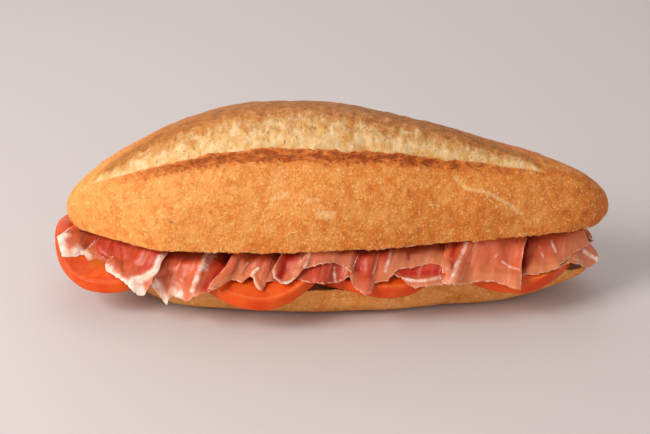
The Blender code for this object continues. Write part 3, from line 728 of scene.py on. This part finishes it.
def tomato(name, finish):
    """A round slice: a disc of rings above and below, and a rounded skin between them."""
    middle_x, middle_y, radius = TOMATOES[name]
    solid = Solid(name)

    def plan(shares, turns):
        """Places seen from above, at these shares of the way out and these turns round the middle."""
        reach = radius * (1 + sum(amount * np.cos(waves * turns + middle_x) for waves, amount in LOBES))
        away = reach * (np.cos(turns), np.sin(turns))
        return (middle_x, middle_y) + np.multiply.outer(shares, away.T)

    spokes = np.linspace(0, 2 * math.pi, TOMATO_SPOKES, endpoint=False)
    known = np.array([[solid.middle(x, y) for x, y in ring] for ring in plan(TOMATO_KNOTS, spokes)])
    known = np.pad(known, ((0, 0), (3, 4), (0, 0)), mode="wrap")
    knots = np.arange(-3, TOMATO_SPOKES + 4) * 2 * math.pi / TOMATO_SPOKES
    turns = np.linspace(0, 2 * math.pi, TOMATO_ROUND, endpoint=False)
    known = curved(knots, np.moveaxis(known, 1, 0), turns)
    shares = np.linspace(0.02, 1.0, TOMATO_ACROSS) ** 0.8
    known = curved(TOMATO_KNOTS, np.moveaxis(known, 1, 0), shares)

    flat = plan(shares, turns)
    height, half = known[..., 0] + curled_up(flat[..., 0]), np.abs(known[..., 1])
    top, bottom = np.dstack((flat, height + half)), np.dstack((flat, height - half))
    away = SKIN_BULGE * np.column_stack((np.cos(turns), np.sin(turns)))
    skin = [np.column_stack((flat[-1] + away * math.cos(a) ** 0.5, height[-1] + half[-1] * math.sin(a)))
            for a in np.linspace(math.pi / 2, -math.pi / 2, SKIN_ROWS + 2)[1:-1]]
    rows = [*top, *skin, *bottom[::-1]]
    index = grid(len(rows), TOMATO_ROUND, closed=True)
    faces = [*quads(index).tolist(), index[0, :-1].tolist(), index[-1, :-1].tolist()]
    share = np.repeat(np.hstack((shares, np.full(SKIN_ROWS, 2.0), shares[::-1])), TOMATO_ROUND)
    lobes = step(np.cos(CHAMBERS * np.tile(turns, len(rows)) + middle_x), 0.1, 0.7)
    add_piece(name, np.vstack(rows), faces, finish, {
        "skin": step(share, RIM, 1.02),
        # Where the painted highlight along the skin's cut edge goes.
        "line": bump(share, RIM, 0.012),
        "gel": bump(share, CHAMBER_PLACE, CHAMBER_REACH) * lobes})


@dataclass
class Layer:
    """One layer of a slice of ham. Places on its front are (x, rise), and each line on it has its reach and
    its strength, or its height where it is a fold, before its places."""

    edge: tuple  # its free front edge, from left to right
    left: tuple = ()  # its sides, from that edge's ends up to where the lid hides them
    right: tuple = ()
    sides: tuple = (0.0, 0.0)  # how far its sides lie in front of the neighbours that they overlap
    tone: float = 0.0  # how dark its meat is, and on under layers lying beneath an edge also painted shade
    ragged: float = 1.0  # how torn its front edge is
    fat: tuple = ()  # lines of white fat
    deep: tuple = ()  # lines of painted shade in its fold valleys
    folds: tuple = ()  # lines of relief
    behind: float = 0.0  # how far it lies behind the slice's first layer
    reach: float = None  # how far back it reaches, where that isn't the whole way
    under: tuple = ()  # further layers of the same slice


HAMS = {
    "ham_1": Layer(
        left=((-114.6, 11.6), (-116.8, 14.8), (-113.9, 17.3), (-110.6, 20.2)),
        edge=((-112.3, 8.2), (-109, 7.5), (-107, 8), (-105.3, 9.3), (-103.6, 8.8), (-102, 7.1),
              (-100.3, 6.4), (-99.2, 7.9), (-98, 9.4), (-94, 10)),
        right=((-93, 15), (-92, 20)), sides=(0.3, -1.2),
        fat=((3.2, 1, (-114, 17), (-114.8, 13.7), (-111.8, 9.5)), (2.6, 1, (-111.8, 9.3), (-106.5, 9.8)),
             (1.2, 0.8, (-103.5, 10.5), (-100.5, 7.3)), (0.7, 0.6, (-101.2, 14.3), (-103.6, 11.3))),
        folds=((2.5, 0.8, (-110, 18), (-106.5, 12.5)), (1.5, -0.7, (-100, 14), (-105, 11))),
    ),
    "ham_2": Layer(
        left=((-94, 5.6), (-91.1, 8.1), (-94.7, 10.2), (-98.8, 10.9), (-99.7, 14)),
        edge=((-92.8, 3.3), (-89.8, 1.3), (-85.7, -1), (-80, -5.4), (-77.6, -7), (-76.9, -6.1), (-77, -2.6),
              (-76.2, -0.9)),
        right=((-72.7, 1.5), (-71.4, 3.9), (-70.9, 6.8), (-69, 10.4)), sides=(0.6, 0.8), tone=0.35,
        fat=((1.8, 1, (-93.4, 4.6), (-90.2, 2.3), (-84.3, -1.5), (-78.5, -5.7)),
             (1.9, 1, (-84, -1), (-76.8, 1.3), (-71.8, 5.4), (-70.6, 8.5)),
             (3.0, 1, (-80, -2.5), (-77.5, -6))),
        folds=((1.2, 0.5, (-97, 12), (-84, 0.5)), (0.8, -0.4, (-88, 12), (-86, 4))),
        # The dark tone of this under layer is painted shade beneath the edges above it.
        under=(Layer(edge=((-101, 8.8), (-97, 7), (-94, 6), (-89, 5.5)), behind=0.6, reach=6, tone=0.9),),
    ),
    "ham_3": Layer(
        left=((-75.1, 1.9), (-73.8, 7.2), (-73.3, 11.7)),
        edge=((-74.1, -0.6), (-73, -3.4), (-71.1, -6.1), (-68.3, -9.1), (-67.5, -6.7), (-66.1, -6.1),
              (-63.9, -6.3), (-59.2, -7), (-56.6, -5.7), (-52.9, -4.1), (-46, -1)),
        right=((-41, 4), (-38, 10)), sides=(-1.0, -0.8),
        fat=((2.4, 1, (-73.3, -0.7), (-70.8, -4.2), (-68, -8.4)), (2.2, 0.8, (-67, -4), (-63.1, -5.2)),
             (1.2, 0.7, (-53.8, 9.8), (-55.1, 5.4), (-57.4, -3.2)), (2.2, 0.6, (-51.5, 9.5), (-54, 5.5))),
        deep=((2.4, 1, (-44.8, 9.8), (-48.5, 4), (-52.6, -1.5)),),
        folds=((2.2, -1.0, (-44.8, 9.8), (-48.5, 4), (-52.6, -1.5)), (1.5, 0.9, (-53.8, 9.8), (-57.4, -3.2)),
               (1.2, -0.7, (-72, 1.6), (-68.3, 2.8), (-64.3, 1.7), (-61.2, -1.2))),
    ),
    "ham_4": Layer(
        left=((-50, 0.1), (-46.7, 4.1), (-44.2, 7.9), (-42.6, 10.6)),
        edge=((-51.2, -3.1), (-46.5, -1.3), (-43.1, 1), (-41.2, 0.9), (-39.6, 0.2), (-38, 0.8), (-36.8, 2),
              (-35, 1.9), (-33.8, -0.4), (-32.8, -2), (-31.6, -2.6), (-30.6, -1.7), (-29.8, 0.2),
              (-24, 1.5)),
        right=((-23.5, 6), (-23, 10.7)), sides=(0.7, -1.3), tone=-0.15,
        fat=((0.8, 0.7, (-32.7, 5.4), (-34.9, 3.1), (-32.1, -2.3)), (0.7, 0.6, (-37.1, 8), (-39.6, 4.1))),
        folds=((1.6, 0.5, (-40, 12), (-44, 2)), (1.0, 0.7, (-33, 5), (-35, 3), (-32, -2)),
               (1.2, -0.8, (-36.5, 10), (-38, 3.5))),
    ),
    "ham_5": Layer(
        left=((-27, 4.5), (-26.2, 7.1), (-24.3, 10.5)),
        edge=((-26.3, 1.6), (-24.5, 0.3), (-21.9, -0.3), (-19, 1.4), (-16.7, 3.8), (-15.1, 5.4), (-10.3, 7),
              (-7.3, 7.7), (-3.7, 8.1), (-1.6, 7.4), (0.8, 6.1), (3, 5)),
        right=((5, 8.5), (7.5, 13)), sides=(1.2, -1.6), tone=0.3,
        fat=((0.8, 0.7, (-26.6, 5), (-26.1, 1.8), (-24.5, 0.6), (-21.9, 0), (-19, 1.7)),
             (0.8, 0.6, (-13.1, 11.5), (-15.3, 6.1))),
        deep=((1.7, 1, (-22, 10.9), (-22.9, 6), (-24.3, 3)),),
        folds=((1.9, -1.7, (-22, 10.9), (-22.9, 6), (-24, 3)), (2.0, 0.8, (-14, 11), (-17, 5))),
        # The dark tone of this under layer is painted shade beneath the edge above it.
        under=(Layer(edge=((-19.5, 4), (-16.6, 1.8), (-12.7, 1.2), (-7, 0.8), (-2.9, 1.2), (0.1, 2.6),
               (4, 4.5)), behind=1.4, reach=9, tone=1.3, fat=((0.7, 0.6, (-3.2, 6.3), (-2.8, 1.4)),)),),
    ),
    "ham_6": Layer(
        left=((2.3, 3.6), (3.6, 7.4), (5.6, 12)),
        edge=((3.2, 0.8), (4.4, -0.8), (5.9, -2.4), (7.8, -3.5), (10.1, -3.4), (11.6, -0.2), (12.3, 0.8),
              (16.5, 1.4), (18.8, 3.3), (20, 5.2), (23.5, 6), (29.3, 7.2), (35.8, 7.9), (38.4, 6.4),
              (39.5, 4.6), (40.5, 0.9)),
        right=((40.7, 6.1), (41.9, 11.7), (43.4, 16.9)), sides=(1.3, 0.9), ragged=1.8,
        fat=((0.9, 0.55, (18, 12.6), (15.8, 4.9)), (0.6, 0.5, (13, 11.4), (10.8, 3.7))),
        deep=((2.0, 1, (6.8, 12.5), (5, 6.3)), (4.5, 0.4, (9, 10), (9, -2))),
        folds=((2.2, -1.4, (7, 12.5), (5.5, 6.3)), (2.0, 0.7, (10, 9), (9, -2)),
               (1.2, 0.8, (40.3, 2), (40.3, 7))),
        under=(Layer(edge=((18.5, 4.5), (23, 1.7), (26.4, -0.5), (29.8, -0.4), (36.6, 0.7), (42, 1.2)),
               behind=0.3, reach=8, ragged=1.4, tone=0.1, deep=((2.6, 1, (22, 5.6), (30, 5.6), (38, 6)),),
               fat=((0.7, 0.6, (21, 2.7), (27.2, 1.6), (32.1, 1.9), (37, 3)),),
               folds=((2.2, -1.0, (24, 5.2), (30, 5.4), (36.5, 5.8)),
               (0.9, 0.9, (20, 2.7), (27.2, 1.6), (32.1, 1.9), (38.5, 4)))),),
    ),
    "ham_7": Layer(
        left=((37.5, 7), (39, 17.4)),
        edge=((37.5, 1.5), (43.6, 0.5), (49.2, 1), (57.1, 1.8), (59.8, 1.3), (62.4, 0.2), (67.7, -1.7)),
        right=((68.7, 5.2), (69.6, 10.1), (71.3, 17.4)), sides=(-1.0, 1.0), tone=-0.8, ragged=1.6,
        fat=((1.0, 0.6, (47.6, 16.4), (40.5, 1.7)), (0.6, 0.4, (51.2, 16.5), (43.5, 1.3)),
             (0.7, 0.5, (61.5, 9.2), (64.5, 7), (68.1, 5.5)), (0.6, 0.4, (60, 12.5), (56.5, 9))),
        deep=((1.8, 1, (43.5, 17), (41.5, 9)),),
        folds=((2.0, -1.2, (43.5, 17), (41.5, 9)), (1.6, 0.6, (49, 16), (43, 2)),
               (2.5, -0.5, (58, 16), (55, 2))),
    ),
    "ham_8": Layer(
        left=((67.5, 9.2), (69, 18.5)),
        edge=((66.5, 4), (71.9, 4.5), (74.7, 4.6), (77.9, 5.2), (83.3, 7), (85.8, 9), (88.6, 11.1),
              (91.8, 13.3), (97.5, 16)),
        right=((96.5, 18.8), (95.2, 21.2)), sides=(-1.0, 0.3), tone=-0.3,
        fat=((0.8, 0.6, (81.5, 17), (83, 13)), (0.7, 0.45, (77, 15), (78, 11))),
        deep=((2.4, 1, (71.5, 18), (70, 9)),),
        folds=((2.2, -0.5, (71.5, 18), (70, 9)), (2.5, 0.6, (80, 18), (83, 8))),
        under=(Layer(edge=((82, 7), (89.5, 9.4), (93.1, 8.6), (98.7, 7.7), (101.2, 9.3), (102.3, 11.6)),
               right=((101.7, 14.4), (98.7, 17.6), (95.1, 20.8)), behind=0.9, reach=10, tone=-0.4,
               fat=((1.1, 0.8, (96, 13.5), (101.5, 10.5)), (0.7, 0.5, (90, 11.5), (95, 9.5)))),),
    ),
}
HAM_ACROSS, UNDER_ROWS = 140, 40
HAM_ROWS, ROW_SHARES = (0, 52, 64, 85), (0, 0.26, 0.85, 1)  # rows lie close in front and behind
TEAR_DEPTH = 0.42
SIDE_REACH = 4.0
FRONT_FADE = (34, 22)  # how far back a slice's folds and fat lines are gone, and how far they are whole
TABLE_GAP = 0.4
DRAPE_STEP = 0.6
DRAPE_MARGIN = 8.0
SMOOTHING = 1.6  # in steps
LEAST_DROP, DRAPE_DROP = 0.7, 2.2  # slopes with which a slice is carried on past its solid
EDGE_SKIP = 1.0  # the solid isn't measured nearer its edge than this
LEAST_KNOWN = 6  # a row of heights with fewer of them measured is taken from its neighbour
SHEET_HALF, FREE_HALF = 0.42, 0.16  # half a slice's thickness, and at its free edge
FREE_REACH = 2.5  # how far from its edges a slice is thinner


class Drape:
    """Heights of a packed slice over the plan, carried on past its edges with the slope it has there."""

    def __init__(self, node):
        solid = Solid(node)
        low, high = (np.array(corner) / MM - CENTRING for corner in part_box(node))
        self.x = np.arange(low[0] - DRAPE_MARGIN, high[0] + DRAPE_MARGIN, DRAPE_STEP)
        self.y = np.arange(low[1] - DRAPE_MARGIN, high[1] + DRAPE_MARGIN, DRAPE_STEP)
        self.z = np.array([[solid.middle(x, y)[0] for y in self.y] for x in self.x])
        known = ~np.isnan(self.z)
        skip = int(EDGE_SKIP / DRAPE_STEP)
        for axis in (0, 1):
            for shift in (-skip, skip):
                known &= np.roll(~np.isnan(self.z), shift, axis)
        self.z[~known] = np.nan
        filled = np.flatnonzero(np.count_nonzero(known, axis=1) >= LEAST_KNOWN)
        places = np.arange(len(self.x))
        for j in np.flatnonzero((self.y > 0) & known.any(axis=0)):
            inside = np.flatnonzero(known[:, j])
            self.z[:, j] = np.interp(places, inside, self.z[inside, j])
        for i in filled:
            self.carry_on(self.z[i])
        for i in places:
            nearest = np.clip(i, filled[0], filled[-1])
            self.z[i] = self.z[nearest] - 0.5 * DRAPE_STEP * abs(i - nearest)
        for axis in (0, 1):
            self.z = np.apply_along_axis(self.smooth, axis, self.z)

    @staticmethod
    def smooth(column):
        """One row of heights, evened out."""
        weights = np.exp(-(np.arange(-3, 4) / SMOOTHING) ** 2)
        return np.convolve(np.pad(column, 3, mode="edge"), weights / weights.sum(), "valid")

    @staticmethod
    def carry_on(column):
        """Fills both ends of one row of heights with straight slopes."""
        inside = np.flatnonzero(~np.isnan(column))
        for end, inner, direction in ((inside[0], inside[3], -1), (inside[-1], inside[-4], 1)):
            slope = np.clip((column[inner] - column[end]) / 3 / DRAPE_STEP, LEAST_DROP, DRAPE_DROP)
            places = np.arange(end + direction, -1 if direction < 0 else len(column), direction)
            column[places] = column[end] - slope * DRAPE_STEP * np.abs(places - end)
        gaps = np.isnan(column)
        column[gaps] = np.interp(np.flatnonzero(gaps), np.flatnonzero(~gaps), column[~gaps])

    def height(self, x, y):
        i = np.clip((x - self.x[0]) / DRAPE_STEP, 0, len(self.x) - 1.001)
        j = np.clip((y - self.y[0]) / DRAPE_STEP, 0, len(self.y) - 1.001)
        i0, j0 = i.astype(int), j.astype(int)
        a, b = i - i0, j - j0
        near = (1 - a) * self.z[i0, j0] + a * self.z[i0 + 1, j0]
        far = (1 - a) * self.z[i0, j0 + 1] + a * self.z[i0 + 1, j0 + 1]
        return (1 - b) * near + b * far + curled_up(x)

    def depth(self, x, heights):
        """The y of each place on the slice's front that has this x and rise."""
        y = np.arange(-3.0, self.y[0], -0.25)[None, :] + 0 * x[:, None]
        known = np.minimum.accumulate(rise(y, self.height(x[:, None] + 0 * y, y)), axis=1)
        return np.array([np.interp(-height, -line, row) for height, line, row in zip(heights, known, y)])


def rise(y, z):
    """How high a place is seen, from in front at the camera's elevation."""
    return y * math.sin(ELEVATION) + z * math.cos(ELEVATION)


def back_edge(first_x, last_x):
    """The free back edge of the slice whose front edge ends at these places."""
    middle, reach = (first_x + last_x) / 2, BACK_SHARE * abs(last_x - first_x) / 2
    x = np.linspace(max(middle - reach, -BACK_LIMIT), min(middle + reach, BACK_LIMIT), HAM_ACROSS)
    u = (x - LID_PLACE[0]) / HALF_LENGTH
    wave = BACK_WAVE * np.sin(x / BACK_WAVE_LENGTH + first_x)
    past_lid = (BACK_REACH + wave) * np.maximum(0.0, 1 - u ** BACK_FADE)
    return x, LID_PLACE[1] + lower_half_width(u, CUT_HEIGHT) + past_lid


def normals(points):
    across, along = np.gradient(points, axis=0), np.gradient(points, axis=1)
    normal = np.cross(across, along)
    normal *= np.sign(normal[..., 2:3].mean())
    return normal / np.maximum(np.linalg.norm(normal, axis=-1, keepdims=True), 1e-9)


def side_line(drape, side, back_corner, y):
    """The x of a slice's side at each y, along its outline and then straight to its back corner."""
    x, heights = along_outline(side, 40).T
    depths = np.maximum.accumulate(drape.depth(x, heights) + 0.001 * np.arange(len(x)))
    return np.interp(y, np.append(depths, back_corner[1]), np.append(x, back_corner[0]))


def strokes(x, heights, lines):
    """How near each place is to any of the lines, with the reach and the strength that each line has."""
    shares = [0 * x]
    for reach, strength, *line in lines:
        smooth = along_outline(line, 16) if len(line) > 2 else line
        shares.append(strength * bump(from_line(x, heights, smooth), 0, reach))
    return np.max(shares, axis=0)


def layer_points(drape, form, seed):
    """A layer's grid of points before its folds, from its left to its right and from its front edge back."""
    front = along_outline(form.edge, HAM_ACROSS)
    front_x, heights = front.T
    torn = distance(front)[:, None] * (1, 0, 0) + (0, seed, 0)
    ragged = TEAR_DEPTH * form.ragged * (cloud(torn, 1.1) + 0.6 * cloud(torn, 3.0, 5.0))
    front_y = drape.depth(front_x, heights + ragged)
    if form.reach is None:
        back_x, back_y = back_edge(front_x[0], front_x[-1])
        share = np.interp(np.arange(HAM_ROWS[-1] + 1), HAM_ROWS, ROW_SHARES)
    else:
        back_x, back_y = front_x, np.full(HAM_ACROSS, front_y.max() + form.reach)
        share = np.linspace(0, 1, UNDER_ROWS)
    x = front_x[:, None] + share * (back_x - front_x)[:, None]
    y = front_y[:, None] + share * (back_y - front_y)[:, None]
    across = np.linspace(0, 1, HAM_ACROSS)[:, None]
    for side, end, weight in ((form.left, 0, 1 - across), (form.right, -1, across)):
        if side:
            line = side_line(drape, (form.edge[end], *side), (back_x[end], back_y[end]), y[end])
            x = x + weight * (line - x[end])
    return np.dstack((x, y, drape.height(x, y)))


def ham_layer(drape, form, seed):
    """Both faces of one layer of a slice, with the quads between their points, and its masks."""
    points = layer_points(drape, form, seed)
    x, heights = points[..., 0], rise(points[..., 1], points[..., 2])
    run, width = distance(points, 1), distance(points, 0)
    to_free = np.minimum(run, run[:, -1:] - run) if form.reach is None else run
    to_side = np.minimum(width, width[-1:] - width)
    in_front = step(run, *FRONT_FADE)

    shift = np.full_like(run, -form.behind)
    for reach, height, *line in form.folds:
        shift += height * bump(from_line(x, heights, line), 0, reach) * in_front
    for lift, from_side in zip(form.sides, (width, width[-1:] - width)):
        shift += lift * bump(from_side, 0, SIDE_REACH) * in_front
    pleats = cloud(points, 4.5, seed, (1, 7, 7)) + 0.4 * cloud(points, 2.0, seed + 5, (1, 7, 7))
    shift += 0.5 * pleats * step(to_free, 16, 2) + 0.2 * cloud(points, 3.0, seed + 9)
    shift += 0.5 * bump(to_free, 0, 1.4) * (0.4 + cloud(points, 6.0, seed + 13))
    points = points + normals(points) * shift[..., None]
    half = FREE_HALF + (SHEET_HALF - FREE_HALF) * step(np.minimum(to_free, to_side), 0, FREE_REACH)
    upright = normals(points) * half[..., None]
    both = np.vstack((points + upright, points - upright)).reshape(-1, 3)
    both[:, 2] = np.maximum(both[:, 2], TABLE_GAP)

    fat_rim = bump(to_free, 0, 2.2) * step(cloud(points, 12.0, seed + 23), -0.1, 0.3)
    fat_streaks = 0.5 * step(cloud(points, 2.2, seed + 29, (1, 9, 9)), 0.25, 0.6)
    fat_behind = np.maximum(fat_rim, fat_streaks) * (1 - in_front)
    # thin is painted light towards the free edge, rim is where the painted edge highlight goes, and deep is
    # painted shade in the fold valleys.
    masks = {"rim": step(np.minimum(to_free, to_side), 1.0, 0.0),
             "thin": step(to_free, 13, 0) * (1 - 0.6 * max(0.0, form.tone)),
             "fat": np.maximum(strokes(x, heights, form.fat) * in_front, fat_behind),
             "deep": strokes(x, heights, form.deep) * in_front,
             "tone": np.full_like(run, form.tone)}
    index, count = grid(*run.shape), run.size
    upper = quads(index)
    rim = np.hstack((index[0], index[1:, -1], index[-1, -2::-1], index[-2:0:-1, 0]))
    following = np.roll(rim, -1)
    edges = np.column_stack((rim, following, following + count, rim + count))
    faces = np.vstack((upper, upper[:, ::-1] + count, edges))
    return both, faces, {label: np.tile(values.ravel(), 2) for label, values in masks.items()}


def ham(name, finish):
    """A thin draped slice, with any further layer that shows under its edge."""
    drape = Drape(name)
    seed = 60.0 + 7 * int(name[-1])
    layers = (HAMS[name], *HAMS[name].under)
    points, faces, masks = zip(*[ham_layer(drape, form, seed + 31 * i) for i, form in enumerate(layers)])
    starts = np.cumsum([0] + [len(p) for p in points])
    faces = np.vstack([quad + start for quad, start in zip(faces, starts)])
    masks = {label: np.hstack([mask[label] for mask in masks]) for label in masks[0]}
    add_piece(name, np.vstack(points), faces.tolist(), finish, masks)


# ---- stage

FLOOR_HALF, FLOOR_COLOUR = 3.0, srgb(206, 196, 194)
WORLD_STRENGTH, WORLD_COLOUR = 0.45, (1.0, 0.985, 0.97, 1.0)
LAMPS = {  # place, size, power, colour
    "key": ((-0.75, -0.4, 0.6), 0.5, 10.0, (1.0, 0.97, 0.94)),
    "fill": ((0.4, -0.9, 0.3), 0.8, 2.2, (1.0, 0.98, 0.96)),
    "back": ((-0.1, 0.8, 0.7), 0.8, 2.2, (1.0, 0.98, 0.96)),
}


def facing(direction):
    """The turn of a camera or a lamp that looks this way."""
    return direction.to_track_quat("-Z", "Y").to_euler()


def set_stage():
    """Camera, floor and soft light from the left, the front and above."""
    scene = bpy.context.scene
    scene.view_settings.view_transform = "Standard"
    turn = Matrix.Rotation(math.radians(CAMERA_TURN), 3, "Z")
    camera = add_object("camera", bpy.data.cameras.new("camera"))
    camera.location = (turn @ CAMERA_PLACE + Vector(CENTRING)) * MM
    camera.rotation_euler = facing(turn @ Vector((0, math.cos(ELEVATION), -math.sin(ELEVATION))))
    camera.data.lens = CAMERA_LENS
    camera.data.clip_start = 0.01
    scene.camera = camera

    floor_finish = Finish("floor")
    floor_finish.set(Base_Color=FLOOR_COLOUR, Roughness=0.7)
    mesh = bpy.data.meshes.new("floor")
    corners = [(x * FLOOR_HALF, y * FLOOR_HALF, 0) for x, y in ((-1, -1), (1, -1), (1, 1), (-1, 1))]
    mesh.from_pydata(corners, [], [(0, 1, 2, 3)])
    mesh.materials.append(floor_finish.material)
    floor = add_object("floor", mesh)

    for name, (place, size, power, colour) in LAMPS.items():
        lamp = bpy.data.lights.new(name, "AREA")
        lamp.size = size
        lamp.energy = power
        lamp.color = colour
        made = add_object(name, lamp)
        made.location = place
        made.rotation_euler = facing(-Vector(place))
    world = bpy.data.worlds.new("world")
    world.use_nodes = True
    background = world.node_tree.nodes["Background"].inputs
    background["Color"].default_value = WORLD_COLOUR
    background["Strength"].default_value = WORLD_STRENGTH
    scene.world = world


set_stage()
crust = crust_finish()
bread_top(crust)
bread_bottom(crust)
flesh = tomato_finish()
for slice_name in TOMATOES:
    tomato(slice_name, flesh)
meat = ham_finish()
for slice_name in HAMS:
    ham(slice_name, meat)
